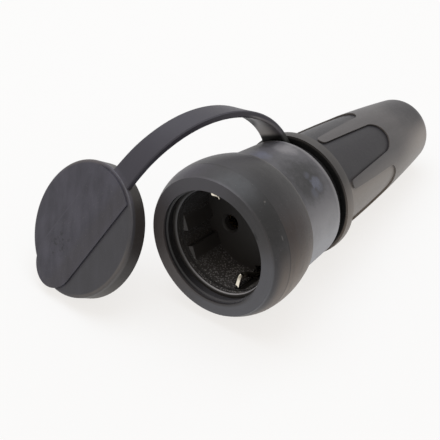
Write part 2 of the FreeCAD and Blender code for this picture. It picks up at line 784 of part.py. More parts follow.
def make_cap_disc():
    plug = lip_bore - size.cap_plug_clearance
    plug_inside = plug - size.cap_plug_wall
    plug_depth = size.cap_skirt_depth + size.cap_plug_reach
    bead_depth = size.cap_skirt_depth + size.cap_bead_reach
    skirt_inside = cap_skirt_radius - size.cap_skirt_wall
    disc = turned("cap_disc", [
        (ZERO, ZERO),
        (cap_radius - size.cap_edge_round, ZERO),
        (cap_radius, size.cap_edge_round, size.cap_edge_round, 1),
        (cap_skirt_radius, size.cap_skirt_depth),
        (skirt_inside, size.cap_skirt_depth),
        (skirt_inside, size.cap_plate),
        (plug, size.cap_plate),
        (plug, bead_depth - size.cap_bead_slope),
        (plug + size.cap_bead_height, bead_depth),
        (plug - size.cap_bead_height, plug_depth),
        (plug_inside, plug_depth),
        (plug_inside, size.cap_plate),
        (ZERO, size.cap_plate),
    ])
    half = size.band_half_width
    band_end_radius = cap_radius - size.band_inset
    band_start = (band_end_radius * band_end_radius - half * half).root()
    round_centre = band_tip - half
    band = padded("cap_band", "XZ_Plane", [
        (round_centre, -half),
        (band_tip, ZERO, half, 1),
        (round_centre, half, half, 1),
        (-band_start, half),
        (-band_start, -half, band_end_radius, 1),
    ], size.band_height + size.band_depth, midplane=False)
    bind(band, Placement__Base__y=size.band_depth)
    return fuse("cap_solid", [disc, band])


def strap_line(ring_end, cap_end, root_pull, cap_pull):
    """Middle line of the strap: one cubic curve that leaves both ends along their own planes."""
    (root, root_way), (tip, tip_way) = ring_end, cap_end
    curve = Part.BezierCurve()
    curve.setPoles([root, root + root_way * root_pull, tip - tip_way * cap_pull, tip])
    return curve


def strap_section(point, width_way, face_way, width, thickness, chamfer):
    """Flat rectangle with cut corners, across the strap."""
    half, deep = width / 2, thickness / 2
    upper = [(half, deep - chamfer), (half - chamfer, deep), (chamfer - half, deep), (-half, deep - chamfer)]
    ring = upper + [(-across, -up) for across, up in upper]
    points = [point + width_way * a + face_way * b for a, b in ring]
    return Part.makePolygon(points + points[:1])


def make_strap(cap_in_body):
    """Strap bent over from the neck ring to the cap, as a loft through flat sections."""
    ring_outer = (neck_radius + size.ring_clearance + size.ring_wall).value
    middle = (size.barrel_rear_station + size.groove_width / 2).value
    ring_end = (Vector(0, middle, ring_outer - size.strap_overlap.value), Vector(0, 0, 1))
    turn = cap_in_body.Rotation
    band, inward = turn.multVec(Vector(1, 0, 0)), turn.multVec(Vector(0, 1, 0))
    sink = size.strap_sink.value + size.strap_thickness.value / 2
    join = cap_in_body.Base - band * (cap_radius.value - size.strap_overlap.value) + inward * sink
    curve = strap_line(ring_end, (join, band), size.strap_root_pull.value, size.strap_cap_pull.value)
    stations = [n / (STRAP_SECTIONS - 1) for n in range(STRAP_SECTIONS)]
    points = [curve.value(t) for t in stations]
    ways = [curve.tangent(t)[0] for t in stations]
    widths = [Vector(-1, 0, 0)]
    for way in ways[1:]:
        flat = widths[-1] - way * widths[-1].dot(way)
        widths.append(flat.normalize())
    side = turn.multVec(Vector(0, 0, -1))
    last_face = widths[-1].cross(ways[-1])
    twist = math.atan2(side.dot(last_face), side.dot(widths[-1]))
    sections = []
    for t, point, way, flat in zip(stations, points, ways, widths):
        face = flat.cross(way)
        across = flat * math.cos(twist * t) + face * math.sin(twist * t)
        flare = max(0.0, 1 - t / STRAP_FLARE_SHARE) ** 2
        width = size.strap_width.value + (size.strap_root_width.value - size.strap_width.value) * flare
        sections.append(strap_section(point, across, across.cross(way), width,
                                      size.strap_thickness.value, size.strap_edge_chamfer.value))
    strap = doc.addObject("Part::Feature", "strap")
    strap.Shape = Part.makeLoft(sections, True, False)
    return strap


def make_strap_cap():
    cap_in_body = REST.inverse() * cap_placement()
    disc = make_cap_disc()
    disc.Placement = cap_in_body
    return fuse("strap_cap", [make_neck_ring(), make_strap(cap_in_body), disc])


nodes = [
    make_front_sleeve(),
    make_socket_insert(),
    make_contact_carrier(),
    make_contact("live_contact", -1),
    make_contact("neutral_contact", 1),
    make_contact_spring("live_contact_spring", -1),
    make_contact_spring("neutral_contact_spring", 1),
    make_earth_bracket(),
    make_earth_terminal(),
    make_terminal_screws(),
    make_carrier_screws(),
    make_cord_clamp_bar(),
    make_cord_clamp_screws(),
    make_rear_grip(),
    make_strap_cap(),
]
for node in nodes:
    node.Placement = REST
doc.recompute()

# Every object has to be sound before anything is written
for thing in doc.Objects:
    if "Invalid" in thing.State or "Error" in thing.State:
        raise RuntimeError(f"{thing.Label} failed: {thing.State}")
for node in nodes:
    if node.Shape.isNull() or not node.Shape.isValid():
        raise RuntimeError(f"{node.Label} has no valid shape")

os.makedirs("parts", exist_ok=True)
for node in nodes:
    node.Shape.exportStep(os.path.join("parts", node.Label + ".step"))
    print(f"{node.Label}: {len(node.Shape.Solids)} solids, {node.Shape.Volume:.0f} mm3")
print(f"rest tilt {math.degrees(REST_TILT):.3f} degrees, floor at {FLOOR:.3f}")
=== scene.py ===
import json
import math

import bmesh
import bpy
from bpy.props import FloatProperty, FloatVectorProperty, PointerProperty
from mathutils import Matrix, Vector


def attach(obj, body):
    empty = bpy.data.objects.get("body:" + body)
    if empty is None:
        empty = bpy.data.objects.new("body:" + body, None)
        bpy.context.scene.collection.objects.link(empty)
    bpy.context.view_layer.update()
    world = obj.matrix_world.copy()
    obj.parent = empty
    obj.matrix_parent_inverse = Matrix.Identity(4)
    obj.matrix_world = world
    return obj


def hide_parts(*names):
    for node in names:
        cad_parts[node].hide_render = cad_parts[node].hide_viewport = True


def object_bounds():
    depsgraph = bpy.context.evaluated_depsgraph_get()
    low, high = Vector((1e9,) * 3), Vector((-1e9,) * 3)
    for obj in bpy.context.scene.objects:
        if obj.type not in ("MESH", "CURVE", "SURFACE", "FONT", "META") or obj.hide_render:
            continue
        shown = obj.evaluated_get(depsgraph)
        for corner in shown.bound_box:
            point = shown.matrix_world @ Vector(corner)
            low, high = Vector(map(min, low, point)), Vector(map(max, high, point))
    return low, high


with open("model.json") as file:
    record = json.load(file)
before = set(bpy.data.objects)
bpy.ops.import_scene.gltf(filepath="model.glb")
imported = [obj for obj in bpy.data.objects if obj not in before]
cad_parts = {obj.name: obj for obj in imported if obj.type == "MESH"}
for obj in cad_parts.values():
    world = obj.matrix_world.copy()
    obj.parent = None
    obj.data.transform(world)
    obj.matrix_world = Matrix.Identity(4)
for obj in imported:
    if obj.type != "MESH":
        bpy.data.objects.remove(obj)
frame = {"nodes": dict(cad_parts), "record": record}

bl_info = {
    "name": "Inline Socket Connector",
    "version": (1, 0, 0),
    "blender": (4, 5, 0),
    "location": "3D View > Sidebar > Connector",
    "description": "Finishes for a rubber inline socket with a tethered cap, and a stage to show it on",
    "category": "Object",
}

CAD_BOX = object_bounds()
MM = 0.001
PER_METRE = 1000.0

# Stations along the coupler's axis from the lip's face and radii about it, in millimetres, as in the solids
MOUTH_STATION = 5.6
LIP_BORE = 21.2
SHOULDER_END = 7.0
RIM_END = 24.0
BARREL_END = 45.8
COLLAR_FRONT = 50.2
COLLAR_RADIUS = 23.9
GRIP_START = 57.4
GRIP_LENGTH = 67.6
GRIP_RADIUS = 20.6
GRIP_TAPER = 6.8
GRIP_SWELL = 3.6  # four times the rise of its long arc
PANEL_END = 95.6
INSERT_FRONT = 5.0
MOUTH_END = 7.8
LEDGE_FRONT = 8.6
RECESS_WALL = 19.2
RECESS_FLOOR = 23.0

# Parabola that follows the strap near its root: height at its foot in millimetres, and bend
STRAP_FOOT = 23.0
STRAP_BEND = 0.069


def mount(name):
    """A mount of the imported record, by its name."""
    return next(m for m in frame["record"]["mounts"] if m["name"] == name)


def body_axes():
    """Turn from the row frame to the coupler's own axes: pins along X, mouth to tail along Y."""
    along = -Vector(mount("plug_recess")["axis"])
    pins = Vector(mount("neutral_contact_bore")["pos_m"]) - Vector(mount("live_contact_bore")["pos_m"])
    pins.normalize()
    return Matrix((pins, along, pins.cross(along)))


BODY_TURN = body_axes()
BODY_SHIFT = Vector((0.0, MOUTH_STATION, 0.0))

# Place of the closing cap, as the solid model has it
CAP_LEAN = math.radians(32.6)
CAP_TURN = math.radians(11.0)
CAP_SPIN = math.radians(18.0)
CAP_SIDE = -48.2
CAP_FORWARD = -19.4
CAP_RADIUS = 25.0
CAP_SKIRT_RADIUS = 24.8
CAP_SKIRT_DEPTH = 7.0
CAP_BAND_HALF = 10.2


def cap_axes():
    """Turn from the row frame to the cap's own axes, band along X and inward along Y, and its middle."""
    outward = Vector((-math.sin(CAP_TURN) * math.cos(CAP_LEAN), -math.cos(CAP_TURN) * math.cos(CAP_LEAN),
                      math.sin(CAP_LEAN)))
    level = Vector((math.cos(CAP_TURN), -math.sin(CAP_TURN), 0))
    rising = outward.cross(level)
    band = level * -math.sin(CAP_SPIN) + rising * -math.cos(CAP_SPIN)
    drop = CAP_SKIRT_RADIUS * math.cos(CAP_LEAN) + CAP_SKIRT_DEPTH * math.sin(CAP_LEAN)
    middle = Vector((CAP_SIDE, CAP_FORWARD, CAD_BOX[0].z * PER_METRE + drop))
    return Matrix((band, -outward, band.cross(-outward))), middle


CAP_AXES, CAP_MIDDLE = cap_axes()

# Sockets of a Mix node that mixes colours
MIX_COLOURS = (6, 7)
MIX_RESULT = 2


class Field:
    """One output of a material's nodes, which takes part in Python sums as a number does."""

    def __init__(self, paint, socket):
        self.paint = paint
        self.socket = socket

    def sum(self, operation, *values):
        return self.paint.add("ShaderNodeMath", {"operation": operation}, dict(enumerate(values)))

    def __add__(self, other):
        return self.sum("ADD", self, other)

    def __sub__(self, other):
        return self.sum("SUBTRACT", self, other)

    def __rsub__(self, other):
        return self.sum("SUBTRACT", other, self)

    def __mul__(self, other):
        return self.sum("MULTIPLY", self, other)

    def __truediv__(self, other):
        return self.sum("DIVIDE", self, other)

    def __rtruediv__(self, other):
        return self.sum("DIVIDE", other, self)

    def __pow__(self, other):
        return self.sum("POWER", self, other)

    def __abs__(self):
        return self.sum("ABSOLUTE", self)

    __radd__ = __add__
    __rmul__ = __mul__


class Paint:
    """The nodes of a material or of the world."""

    def __init__(self, owner):
        owner.use_nodes = True
        self.owner = owner
        self.tree = owner.node_tree
        self.tree.nodes.clear()

    def add(self, kind, settings=None, inputs=None, output=0):
        """Adds a node: its settings are set first, then the values or links of its sockets."""
        node = self.tree.nodes.new(kind)
        for key, value in (settings or {}).items():
            setattr(node, key, value)
        for key, value in (inputs or {}).items():
            if isinstance(value, Field):
                self.tree.links.new(value.socket, node.inputs[key])
            else:
                node.inputs[key].default_value = value
        return Field(self, node.outputs[output]) if node.outputs else None

    def place(self, turn, shift):
        """Object coordinates turned to a piece's own axes, in millimetres."""
        own = self.add("ShaderNodeTexCoord", output="Object")
        return self.add("ShaderNodeMapping", {"vector_type": "POINT"}, {
            "Vector": own, "Location": shift, "Rotation": turn.to_euler("XYZ"),
            "Scale": (PER_METRE, PER_METRE, PER_METRE)})

    def split(self, vector):
        node = self.add("ShaderNodeSeparateXYZ", inputs={"Vector": vector}).socket.node
        return [Field(self, output) for output in node.outputs]

    def stretch(self, vector, scale):
        return self.add("ShaderNodeMapping", inputs={"Vector": vector, "Scale": scale})

    def noise(self, vector, scale, detail, roughness=0.55):
        return self.add("ShaderNodeTexNoise", inputs={
            "Vector": vector, "Scale": scale, "Detail": detail, "Roughness": roughness})

    def bands(self, value, scale):
        """Noise that changes with one value only."""
        return self.add("ShaderNodeTexNoise", {"noise_dimensions": "1D"}, {
            "W": value, "Scale": scale, "Detail": 2.0})

    def ease(self, value, low, high):
        """0 below low, 1 above high and a smooth rise between."""
        return self.add("ShaderNodeMapRange", {"interpolation_type": "SMOOTHSTEP", "clamp": True}, {
            "Value": value, "From Min": low, "From Max": high})

    def between(self, value, low, high, soft):
        """1 from low to high, with soft ends."""
        return self.ease(value, low - soft, low + soft) * (1.0 - self.ease(value, high - soft, high + soft))

    def patch(self, first, second, ragged=0.0):
        """1 at a middle on the surface, 0 past its reach: each way is a value, its middle and its reach."""
        away = sum(((value - middle) / reach) ** 2.0 for value, middle, reach in (first, second))
        return 1.0 - self.ease(away + ragged, -0.1, 1.2)

    def mix(self, first, second, share):
        """From the first colour to the second."""
        blend = self.add("ShaderNodeMix", {"data_type": "RGBA"}, {0: share}, output=MIX_RESULT)
        node = blend.socket.node
        for index, value in zip(MIX_COLOURS, (first, second)):
            if isinstance(value, Field):
                self.tree.links.new(value.socket, node.inputs[index])
            else:
                node.inputs[index].default_value = (*value, 1.0)
        return blend

    def bump(self, height, distance, strength):
        return self.add("ShaderNodeBump", inputs={
            "Height": height, "Distance": distance, "Strength": strength})

    def surface(self, **sockets):
        """Ends a material in one principled shader with these sockets."""
        shader = self.add("ShaderNodeBsdfPrincipled", inputs={
            key.replace("_", " "): value for key, value in sockets.items()})
        self.add("ShaderNodeOutputMaterial", inputs={"Surface": shader})
        return self.owner


def body_paint(name):
    """A new material, and places in the coupler's own axes."""
    paint = Paint(bpy.data.materials.new(name))
    return paint, paint.place(BODY_TURN, BODY_SHIFT)


def polar(x, z):
    """Radius and angle in degrees about a piece's own Y."""
    return (x * x + z * z) ** 0.5, x.sum("ARCTAN2", x, z) * math.degrees(1.0)


def grain(paint, place, extra=0.0):
    """Fine skin of moulded rubber, as a bump, with other relief added to it."""
    fine = paint.noise(place, 2.6, 2.0)
    broad = paint.noise(place, 0.3, 3.0)
    return paint.bump(fine * 0.3 + broad + extra, 0.00007, 0.6)


def specks(paint, place, scale, threshold):
    """Scattered dust and small nicks."""
    return paint.ease(paint.noise(place, scale, 1.0), threshold, threshold + 0.06)


def sleeve_rubber(look):
    """Charcoal shoulder, a rim band and a barrel with a pale, patchy bloom, with painted highlights on top,
    painted shade on the sides, in the crease and in the grooves, and painted warm, brownish floor bounce and
    reflection underneath.
    """
    paint, place = body_paint("sleeve_rubber")
    x, station, z = paint.split(place)
    radius, angle = polar(x, z)
    cloud = paint.noise(place, 0.1, 4.0)
    fine = paint.noise(place, 1.1, 4.0, 0.65)
    ragged = (paint.noise(place, 0.3, 5.0, 0.68) - 0.5) * 3.0

    def patch(middle, reach, uneven=1.0):
        return paint.patch((station, middle[0], reach[0]), (angle, middle[1], reach[1]), ragged * uneven)

    shoulder = paint.mix(look.rubber, look.rubber_light, cloud * 0.5 + fine * 0.3)
    # Painted highlight: the sheen colour lightens the top of the shoulder
    shoulder = paint.mix(shoulder, look.sheen, patch((4.5, -10.0), (6.5, 30.0), 0.4) * 0.8)
    # Painted shade on the shoulder's right side
    shoulder = paint.mix(shoulder, look.rubber_painted_shade, patch((3.5, 58.0), (9.0, 58.0), 0.3))
    on_face = 1.0 - paint.ease(station, 0.1, 1.0)
    rings = paint.bands(radius, 0.9) * on_face
    around = abs(angle)
    low = paint.ease(around, 110.0, 165.0)
    # Painted warm light on the left of the lip's face
    face = paint.mix(look.lip, look.lip_painted_light, paint.between(angle, -140.0, -45.0, 30.0))
    # Painted highlight low on the lip's face
    face = paint.mix(face, look.lip_painted_highlight, low * paint.ease(radius, LIP_BORE + 0.2, LIP_BORE + 1.4))
    # Painted highlight: the sheen colour lightens the top of the lip's face
    face = paint.mix(face, look.sheen, patch((0.0, 0.0), (3.0, 66.0), 0.2) * 0.7)
    # Painted shade on the right of the lip's face
    face = paint.mix(face, look.rubber_painted_shade, paint.between(angle, 40.0, 84.0, 14.0) * 0.7)
    # Painted highlight on the lower right of the lip's face
    face = paint.mix(face, look.lip_painted_highlight, paint.between(angle, 98.0, 150.0, 14.0) * 0.8)
    # Painted warm floor bounce low on the shoulder's sides
    pale = paint.ease(around, 90.0, 128.0) * paint.ease(station, 1.0, 5.0)
    pale = pale * paint.ease(radius, LIP_BORE + 1.0, LIP_BORE + 1.8)
    shoulder = paint.mix(shoulder, look.painted_floor_bounce, pale * 0.6)
    shoulder = paint.mix(shoulder, face, on_face * 0.9)
    shoulder = paint.mix(shoulder, look.rubber_light, rings * 0.4)
    inside = paint.ease(station, 0.5, 1.2) * (1.0 - paint.ease(radius, LIP_BORE + 0.1, LIP_BORE + 0.7))
    # A small slit in the lip's inner edge, painted dark as its shade
    nick = patch((0.0, 78.5), (1.6, 4.2), 0.0)
    nick = nick * (1.0 - paint.ease(radius, LIP_BORE + 0.7, LIP_BORE + 1.1))
    # Painted highlight low inside the lip
    shoulder = paint.mix(shoulder, look.lip_painted_highlight, inside * low * 0.5)
    # Painted shade inside the lip's bore, less low down, and in the slit
    shoulder = paint.mix(shoulder, look.painted_shade_and_nicks, inside * (0.8 - low * 0.75) + nick)
    # Painted warm shade on the band's sides
    band = paint.mix(look.band, look.band_painted_warm_shade, paint.ease(around, 55.0, 90.0))
    # Painted shade on the band's upper sides
    band = paint.mix(band, look.rubber_painted_shade, paint.between(around, 26.0, 72.0, 16.0) * 0.75)
    # Painted warm floor bounce under the band
    band = paint.mix(band, look.painted_floor_bounce, paint.ease(around, 86.0, 142.0))
    streaks = paint.noise(paint.stretch(place, (0.1, 0.35, 0.1)), 1.0, 4.0)
    band = paint.mix(band, look.rubber, paint.ease(streaks, 0.4, 0.7) * 0.3)
    base = paint.mix(shoulder, band, paint.ease(station, SHOULDER_END - 0.3, SHOULDER_END + 0.3))
    # Painted shade in the crease where the shoulder meets the band
    crease = paint.between(station, SHOULDER_END - 0.3, SHOULDER_END + 0.2, 0.25)
    base = paint.mix(base, look.rubber_painted_shade, crease * 0.5)

    # Painted floor reflection: the barrel turns paler towards its underside
    downward = paint.ease(around, 68.0, 122.0)
    bloom = paint.mix(look.bloom, look.bloom_and_painted_reflection, downward)
    bloom = paint.mix(bloom, look.barrel_darker, paint.ease(cloud, 0.4, 0.66) * (0.32 - downward * 0.25))
    # A paler patch high on the barrel's right
    bloom = paint.mix(bloom, look.bloom_and_painted_reflection, patch((40.5, 24.0), (5.0, 13.0), 0.6) * 0.35)
    # Darker patches: a mottled one on the barrel's right and one under the strap's root
    barrel_darker = patch((33.5, 58.0), (10.5, 25.0), 0.6) + patch((38.0, 4.0), (5.0, 12.0)) * 0.6
    bloom = paint.mix(bloom, look.barrel_darker, barrel_darker * 0.95)
    # A paler band along the barrel's rear edge
    rear_edge = paint.between(station, BARREL_END - 1.6, BARREL_END + 1.2, 0.9)
    bloom = paint.mix(bloom, look.bloom_and_painted_reflection, rear_edge * 0.35)
    smudges = patch((37.0, 67.5), (3.0, 8.0)) + patch((33.3, 73.0), (2.4, 6.0)) * 0.5
    smudges = smudges + patch((29.0, 18.0), (3.6, 12.0)) * 0.8 + patch((35.0, 57.0), (1.8, 4.0)) * 0.4
    bloom = paint.mix(bloom, look.smudge, smudges * (0.25 + fine * 0.7))
    on_barrel = paint.ease(station, RIM_END - 0.9, RIM_END - 0.2)
    base = paint.mix(base, bloom, on_barrel)
    # Painted highlight: the dust colour draws a light line along the rim's rear step
    edge = paint.between(station, RIM_END - 1.5, RIM_END - 0.8, 0.3) * (0.4 + fine * 0.6)
    base = paint.mix(base, look.dust, edge * 0.4)

    scuffs = patch((5.5, 59.0), (0.5, 0.9), 0.2) + patch((5.1, 86.5), (0.3, 2.4), 0.2)
    in_groove = paint.ease(station, BARREL_END - 0.1, BARREL_END + 0.3)
    dust = specks(paint, place, 1.7, 0.7) * (1.0 - in_groove) * 0.4
    base = paint.mix(base, look.dust, dust * 0.5 + scuffs * 0.35)
    # Painted shade in the groove behind the barrel
    base = paint.mix(base, look.painted_shade_and_nicks, in_groove)
    rough = 0.44 + (fine - 0.5) * 0.25 + on_barrel * 0.06 + dust * 0.2
    return paint.surface(Base_Color=base, Roughness=rough, Specular_IOR_Level=look.gloss,
                         Normal=grain(paint, place, rings * 0.6))


def grip_rubber(look):
    """Grip rubbed pale on its ribs, with darker sunk panels and a dark collar, painted warm floor bounce low
    on its sides and tail, painted light on its panel walls and painted shade on the collar's front.
    """
    paint, place = body_paint("grip_rubber")
    x, station, z = paint.split(place)
    radius, angle = polar(x, z)
    around = abs(angle)
    along = (station - GRIP_START) / GRIP_LENGTH
    depth = GRIP_RADIUS - along * GRIP_TAPER + along * (1.0 - along) * GRIP_SWELL - radius
    on_panels = paint.between(station, GRIP_START - 0.4, PANEL_END + 1.4, 1.0)
    sunk = paint.ease(depth, 0.25, 0.6) * on_panels
    cloud = paint.noise(place, 0.09, 4.0)
    fine = paint.noise(place, 1.2, 4.0, 0.65)
    rubbed = paint.noise(paint.stretch(place, (0.3, 0.06, 0.3)), 1.0, 4.0)
    base = paint.mix(look.grip, look.grip_rubbed, rubbed * 0.8 + fine * 0.3)
    # Painted warm floor bounce low on the grip's sides
    base = paint.mix(base, look.grip_painted_light, paint.ease(around, 80.0, 122.0) * 0.8)
    tail = paint.patch((station, 126.0, 20.0), (angle, 42.0, 46.0), (cloud - 0.5) * 1.4)
    base = paint.mix(base, look.grip_panel, tail * 0.75)
    # Painted warm floor bounce low on the tail
    pale = paint.ease(station, 96.0, 124.0) * paint.ease(around, 62.0, 104.0)
    base = paint.mix(base, look.grip_tail_painted_light, pale * 0.95)
    low = paint.ease(around, 82.0, 98.0)
    base = paint.mix(base, look.grip_panel, sunk * (1.0 - low) * (0.8 + cloud * 0.4))
    # Painted warm floor bounce in the low panels
    base = paint.mix(base, look.grip_painted_light, sunk * low * 0.85)
    # Painted light on the panels' walls, which lightens their shade
    wall = paint.between(depth, 0.12, 0.6, 0.08) * on_panels
    base = paint.mix(base, look.grip_painted_light, wall * 0.45)
    collar = 1.0 - paint.ease(station, GRIP_START - 3.4, GRIP_START - 0.4)
    base = paint.mix(base, look.collar, collar * 0.7)
    # Painted warm floor bounce low on the collar
    base = paint.mix(base, look.grip_painted_light, collar * paint.ease(around, 72.0, 108.0) * 0.6)
    # Painted warm floor bounce under the collar
    base = paint.mix(base, look.painted_floor_bounce, collar * paint.ease(around, 92.0, 128.0) * 0.5)
    seam = paint.between(station, GRIP_START - 0.3, GRIP_START + 0.2, 0.3) * paint.ease(around, 60.0, 75.0)
    base = paint.mix(base, look.collar, seam * 0.8)
    # Painted shade on the collar's front face, in the gap behind the barrel
    front = 1.0 - paint.ease(station, COLLAR_FRONT + 0.5, COLLAR_FRONT + 1.0)
    front = front * (1.0 - paint.ease(radius, COLLAR_RADIUS - 1.4, COLLAR_RADIUS - 0.7))
    base = paint.mix(base, look.painted_shade_and_nicks, front)
    dust = specks(paint, place, 1.9, 0.7)
    base = paint.mix(base, look.dust, dust * 0.2)
    rough = 0.46 + (fine - 0.5) * 0.25 + dust * 0.15
    return paint.surface(Base_Color=base, Roughness=rough, Specular_IOR_Level=look.gloss,
                         Normal=grain(paint, place))


def cap_rubber(look):
    """Charcoal cap with faint streaks, painted highlights on its rounded edge and band, painted shade on its
    band and painted floor reflection on its lower side, and its strap with painted light inside its root.
    """
    paint = Paint(bpy.data.materials.new("cap_rubber"))
    place = paint.place(CAP_AXES, -(CAP_AXES @ CAP_MIDDLE))
    x, y, z = paint.split(place)
    radius, angle = polar(x, z)
    on_cap = 1.0 - paint.ease(radius, 25.6, 27.2)
    cloud = paint.noise(place, 0.11, 4.0)
    fine = paint.noise(place, 1.4, 4.0, 0.65)
    slanted = paint.add("ShaderNodeMapping", {"vector_type": "TEXTURE"}, {
        "Vector": place, "Rotation": (0.0, math.radians(-45.0), 0.0), "Scale": (13.0, 6.0, 3.6)})
    streak = paint.noise(slanted, 1.0, 3.0, 0.5)
    rubbed = paint.ease(streak * 0.6 + cloud * 0.4, 0.3, 0.7) * 0.8 + fine * 0.4 - 0.1
    base = paint.mix(look.cap, look.cap_rubbed_and_highlight, rubbed)
    past_band = paint.ease(z, CAP_BAND_HALF - 0.2, CAP_BAND_HALF + 0.4)
    base = paint.mix(base, look.cap_plain, past_band * 0.6)
    # Painted shade on the band's half next to its shaded step
    darker = paint.between(z, 3.0, CAP_BAND_HALF, 2.4) * (1.0 - past_band)
    base = paint.mix(base, look.cap_side_and_band_shade, darker * 0.35)
    # Painted highlight along the band's lit edge
    beside = paint.between(z, -CAP_BAND_HALF - 0.35, -CAP_BAND_HALF + 0.35, 0.3)
    base = paint.mix(base, look.cap_rubbed_and_highlight, beside * paint.between(x, -9.0, 16.0, 4.0) * 0.8)
    nicks = specks(paint, place, 0.9, 0.6) * paint.patch((x, 11.0, 9.0), (z, -3.0, 5.0))
    base = paint.mix(base, look.painted_shade_and_nicks, nicks * 0.6)
    # Painted highlight along the cap's rounded edge, strongest at the angles that worn picks out
    ring = paint.between(radius, CAP_RADIUS - 1.1, CAP_RADIUS + 0.3, 0.4)
    ring = ring * (1.0 - paint.ease(y, 1.6, 2.6))
    worn = paint.between(angle, -25.0, 48.0, 16.0) + paint.between(angle, -160.0, -115.0, 12.0) * 0.8
    base = paint.mix(base, look.cap_edge_painted_light, ring * (worn * 0.3 + 0.03) * (0.5 + fine * 0.8))
    side = paint.ease(y, 1.3, 2.4) * on_cap * (1.0 - ring * worn * 0.5)
    base = paint.mix(base, look.cap_side_and_band_shade, side)
    # Painted floor reflection on the cap's lower side
    low = paint.between(angle, 8.0, 62.0, 20.0)
    base = paint.mix(base, look.cap_edge_painted_light, side * low * (0.16 + fine * 0.16))
    base = paint.mix(base, look.strap, (1.0 - on_cap) * (0.8 + streak * 0.2))
    # Painted light inside the strap's root
    across, station, height = paint.split(paint.place(BODY_TURN, BODY_SHIFT))
    root = paint.between(height, STRAP_FOOT - 0.5, STRAP_FOOT + 15.0, 2.0)
    root = root * paint.between(across, -9.0, 2.0, 4.0) * paint.ease(station, 33.0, 38.0)
    arch = station + (height - STRAP_FOOT) ** 2.0 * STRAP_BEND
    root = root * (1.0 - paint.ease(arch, BARREL_END + 0.7, BARREL_END + 1.5))
    base = paint.mix(base, look.strap_root_painted_light, root * (0.7 + fine * 0.5))
    # Painted shade on the strap's neck ring, down in the groove
    neck = paint.between(station, BARREL_END - 1.8, COLLAR_FRONT + 0.8, 0.5)
    neck = neck * (1.0 - paint.ease(height, STRAP_FOOT + 1.6, STRAP_FOOT + 3.5))
    base = paint.mix(base, look.painted_shade_and_nicks, neck)
    dust = specks(paint, place, 2.3, 0.68) * on_cap
    base = paint.mix(base, look.dust, dust * 0.3)
    rough = 0.47 + (fine - 0.5) * 0.25 + dust * 0.15
    return paint.surface(Base_Color=base, Roughness=rough, Specular_IOR_Level=look.gloss,
                         Normal=grain(paint, place))


def insert_plastic(look):
    """Black plastic of the plug recess, stippled on its wall, with painted light low on the wall and on the
    ledge, a painted highlight on its front ring, and painted shade at the mouth's step and on the floor.
    """
    paint, place = body_paint("insert_plastic")
    x, station, z = paint.split(place)
    radius, angle = polar(x, z)
    fine = paint.noise(place, 1.6, 3.0, 0.7)
    low = paint.ease(abs(angle), 95.0, 170.0)
    on_wall = paint.between(station, INSERT_FRONT + 1.2, RECESS_FLOOR, 0.3)
    on_wall = on_wall * paint.between(radius, RECESS_WALL - 0.6, RECESS_WALL + 1.0, 0.2)
    stipple = paint.add("ShaderNodeTexVoronoi", {"feature": "F1"}, {"Vector": place, "Scale": 1.35})
    pips = (1.0 - paint.ease(stipple, 0.15, 0.5)) * on_wall
    ring = paint.between(station, INSERT_FRONT + 0.3, INSERT_FRONT + 0.75, 0.15)
    ledge = paint.between(station, LEDGE_FRONT - 0.15, LEDGE_FRONT + 0.15, 0.1)
    ledge = ledge * (1.0 - paint.ease(radius, RECESS_WALL - 0.4, RECESS_WALL - 0.1))
    # Painted light: worn makes the stipple and the wall paler low down, and the ledge paler
    worn = (pips * 0.85 + on_wall * 0.13) * (0.1 + low)
    base = paint.mix(look.insert, look.insert_pale_and_painted_light, worn + ledge * 0.13)
    # Painted highlight on the front ring, strongest low down
    base = paint.mix(base, look.insert_ring_painted_highlight, ring * (0.14 + low * 0.86))
    # Painted shade on the mouth's step and the recess floor
    step = paint.between(station, MOUTH_END - 0.3, MOUTH_END + 0.5, 0.15)
    floor = paint.ease(station, RECESS_FLOOR - 0.3, RECESS_FLOOR - 0.1)
    base = paint.mix(base, look.insert_painted_shade, step * 0.9 + floor * 0.25)
    holes = paint.ease(station, RECESS_FLOOR + 0.1, RECESS_FLOOR + 0.3)
    rough = 0.36 + fine * 0.15 + holes * 0.4 + step * 0.4
    return paint.surface(Base_Color=base, Roughness=rough, Specular_IOR_Level=look.insert_gloss,
                         Normal=paint.bump(pips + fine * 0.1, 0.0002, 0.6))


def carrier_plastic(look):
    """Plain dark plastic of the parts inside."""
    paint, place = body_paint("carrier_plastic")
    fine = paint.noise(place, 1.1, 3.0)
    base = paint.mix(look.carrier, look.insert_pale_and_painted_light, fine * 0.15)
    return paint.surface(Base_Color=base, Roughness=0.42 + fine * 0.2, Normal=paint.bump(fine, 0.00005, 0.5))


def metal(name, fresh, tarnish, roughness, stretch, bright_to=None):
    """Drawn or plated metal with fine lines and a little tarnish; past the station bright_to, when it is
    given, the dull colour is laid on as painted shade.
    """
    paint, place = body_paint(name)
    lines = paint.noise(paint.stretch(place, stretch), 1.0, 2.0)
    base = paint.mix(fresh, tarnish, paint.ease(paint.noise(place, 0.3, 3.0), 0.35, 0.7))
    if bright_to is not None:
        # Painted shade: past bright_to the metal takes the dull colour
        base = paint.mix(base, tarnish, paint.ease(paint.split(place)[1], bright_to, bright_to + 2.0))
    return paint.surface(Base_Color=base, Metallic=1.0, Roughness=roughness + lines * 0.1)


def tint(name, description, default):
    """A colour that the user can change."""
    return FloatVectorProperty(name=name, description=description, subtype="COLOR", size=3, min=0.0, max=1.0,
                               default=default)


def share(name, description, default):
    """A strength from 0 to 1 that the user can change."""
    return FloatProperty(name=name, description=description, default=default, min=0.0, max=1.0,
                         subtype="FACTOR")


def length(name, description, default):
    """A size that the user can change."""
    return FloatProperty(name=name, description=description, default=default, unit="LENGTH")


